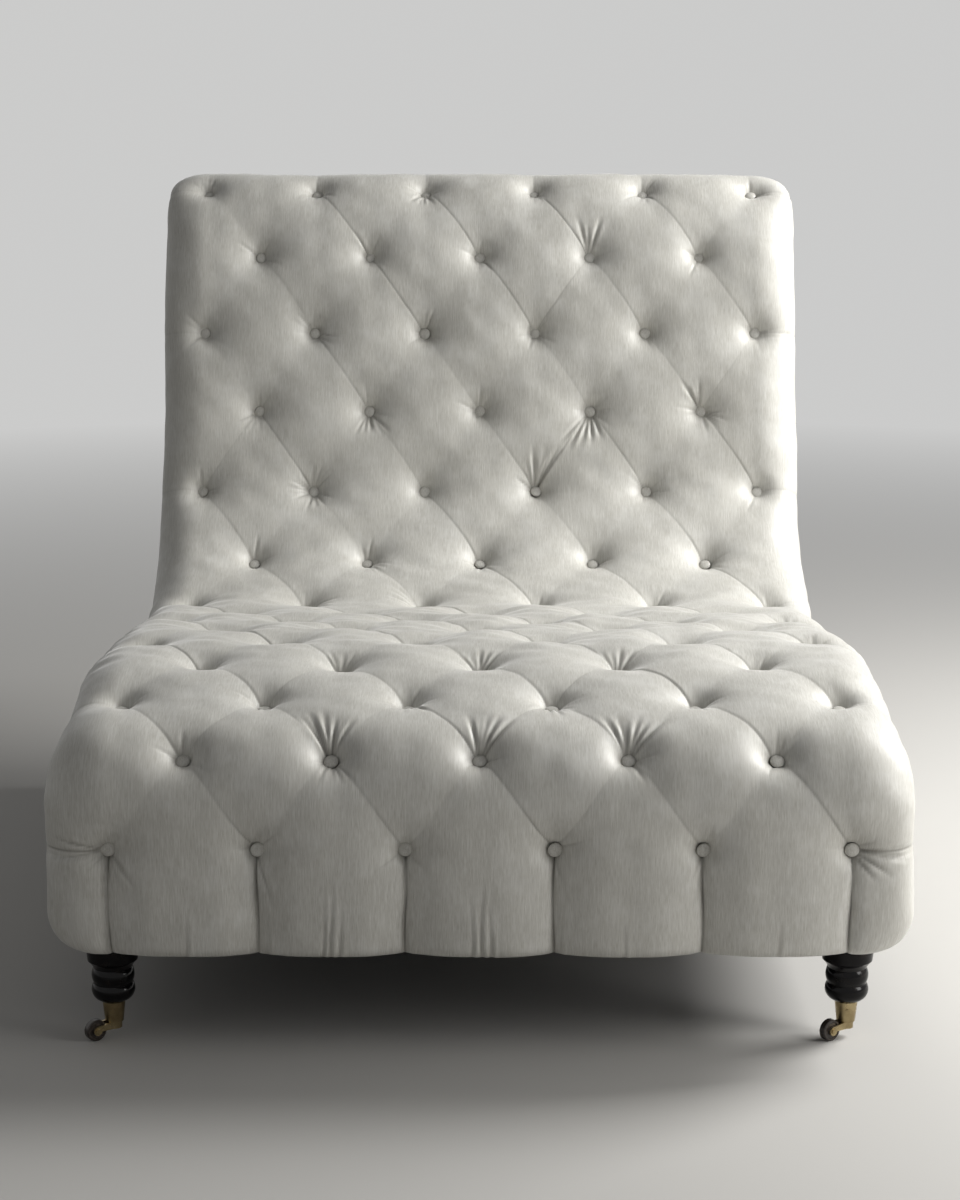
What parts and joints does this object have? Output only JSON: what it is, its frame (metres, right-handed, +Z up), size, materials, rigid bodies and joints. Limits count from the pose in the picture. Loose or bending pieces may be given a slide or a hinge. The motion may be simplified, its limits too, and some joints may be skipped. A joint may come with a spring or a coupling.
{
  "type": "chaise longue",
  "caption": "Wide chaise longue with a deep-buttoned velvet seat and scrolled back, on turned black legs with brass cup casters.",
  "frame": {"origin": "on the floor, below the middle of the chaise's length and width", "axes": "+Z up; +Y from the foot towards the back; +X across the width, to the right of someone facing the chaise"},
  "size_m": [1.1946, 1.6427, 1.1586],
  "materials": {
    "velvet": "pale silver-ivory velvet with a satin sheen and a fine vertical slub",
    "foam": "open-cell upholstery foam under batting",
    "batting": "white polyester batting",
    "deck_cloth": "plain woven burlap",
    "webbing": "woven jute webbing",
    "twine": "waxed nylon twine",
    "dust_cloth": "black non-woven dust cloth",
    "toggle_plastic": "moulded natural nylon",
    "frame_wood": "unfinished kiln-dried hardwood",
    "black_lacquer": "turned hardwood in gloss black lacquer",
    "brass": "antiqued brass, darker in the recesses",
    "wheel_black": "dark brown-black hard wheel",
    "steel": "zinc-plated steel"
  },
  "bodies": {
    "chaise_frame": {"foot_pad": "foam", "seat_pad": "foam", "lap_pad": "foam", "back_pad": "foam", "roll_pad": "foam", "tufted_cover": "velvet", "foot_buttons": "velvet", "seat_buttons": "velvet", "back_buttons": "velvet", "button_ties": "twine", "button_toggles": "toggle_plastic", "deck_cloth": "deck_cloth", "seat_webbing_long": "webbing", "seat_webbing_cross": "webbing", "back_webbing_long": "webbing", "back_webbing_cross": "webbing", "seat_side_left": "frame_wood", "back_side_left": "frame_wood", "side_batting_left": "batting", "side_panel_left": "velvet", "seat_side_right": "frame_wood", "back_side_right": "frame_wood", "side_batting_right": "batting", "side_panel_right": "velvet", "outside_back_batting": "batting", "outside_back_panel": "velvet", "front_rail": "frame_wood", "rear_rail": "frame_wood", "seat_stretchers": "frame_wood", "seat_back_rail": "frame_wood", "middle_back_rail": "frame_wood", "upper_back_rail": "frame_wood", "roll_rail": "frame_wood", "corner_blocks": "frame_wood", "dust_cover": "dust_cloth", "leg_bolts": "steel", "leg_nuts": "steel", "ferrule_screws": "brass", "leg_front_left": "black_lacquer", "ferrule_front_left": "brass", "leg_front_right": "black_lacquer", "ferrule_front_right": "brass", "leg_rear_left": "black_lacquer", "ferrule_rear_left": "brass", "leg_rear_right": "black_lacquer", "ferrule_rear_right": "brass"},
    "caster_swivel_front_left": {"caster_horn_front_left": "brass", "caster_axle_front_left": "brass"},
    "caster_wheel_front_left": {"caster_wheel_front_left": "wheel_black"},
    "caster_swivel_front_right": {"caster_horn_front_right": "brass", "caster_axle_front_right": "brass"},
    "caster_wheel_front_right": {"caster_wheel_front_right": "wheel_black"},
    "caster_swivel_rear_left": {"caster_horn_rear_left": "brass", "caster_axle_rear_left": "brass"},
    "caster_wheel_rear_left": {"caster_wheel_rear_left": "wheel_black"},
    "caster_swivel_rear_right": {"caster_horn_rear_right": "brass", "caster_axle_rear_right": "brass"},
    "caster_wheel_rear_right": {"caster_wheel_rear_right": "wheel_black"}
  },
  "joints": [
    {"name": "caster_front_left_swivel", "type": "hinge", "parent": "chaise_frame", "child": "caster_swivel_front_left", "pos_m": [-0.52, -0.70204, 0.024], "axis": [0, 0, 1], "continuous": true},
    {"name": "caster_front_left_roll", "type": "hinge", "parent": "caster_swivel_front_left", "child": "caster_wheel_front_left", "pos_m": [-0.54457, -0.71925, 0.0155], "axis": [0.5736, -0.8192, 0], "continuous": true},
    {"name": "caster_front_right_swivel", "type": "hinge", "parent": "chaise_frame", "child": "caster_swivel_front_right", "pos_m": [0.52, -0.70204, 0.024], "axis": [0, 0, 1], "continuous": true},
    {"name": "caster_front_right_roll", "type": "hinge", "parent": "caster_swivel_front_right", "child": "caster_wheel_front_right", "pos_m": [0.49543, -0.71925, 0.0155], "axis": [0.5736, -0.8192, 0], "continuous": true},
    {"name": "caster_rear_left_swivel", "type": "hinge", "parent": "chaise_frame", "child": "caster_swivel_rear_left", "pos_m": [-0.52, 0.51669, 0.024], "axis": [0, 0, 1], "continuous": true},
    {"name": "caster_rear_left_roll", "type": "hinge", "parent": "caster_swivel_rear_left", "child": "caster_wheel_rear_left", "pos_m": [-0.54457, 0.49948, 0.0155], "axis": [0.5736, -0.8192, 0], "continuous": true},
    {"name": "caster_rear_right_swivel", "type": "hinge", "parent": "chaise_frame", "child": "caster_swivel_rear_right", "pos_m": [0.52, 0.51669, 0.024], "axis": [0, 0, 1], "continuous": true},
    {"name": "caster_rear_right_roll", "type": "hinge", "parent": "caster_swivel_rear_right", "child": "caster_wheel_rear_right", "pos_m": [0.49543, 0.49948, 0.0155], "axis": [0.5736, -0.8192, 0], "continuous": true}
  ]
}
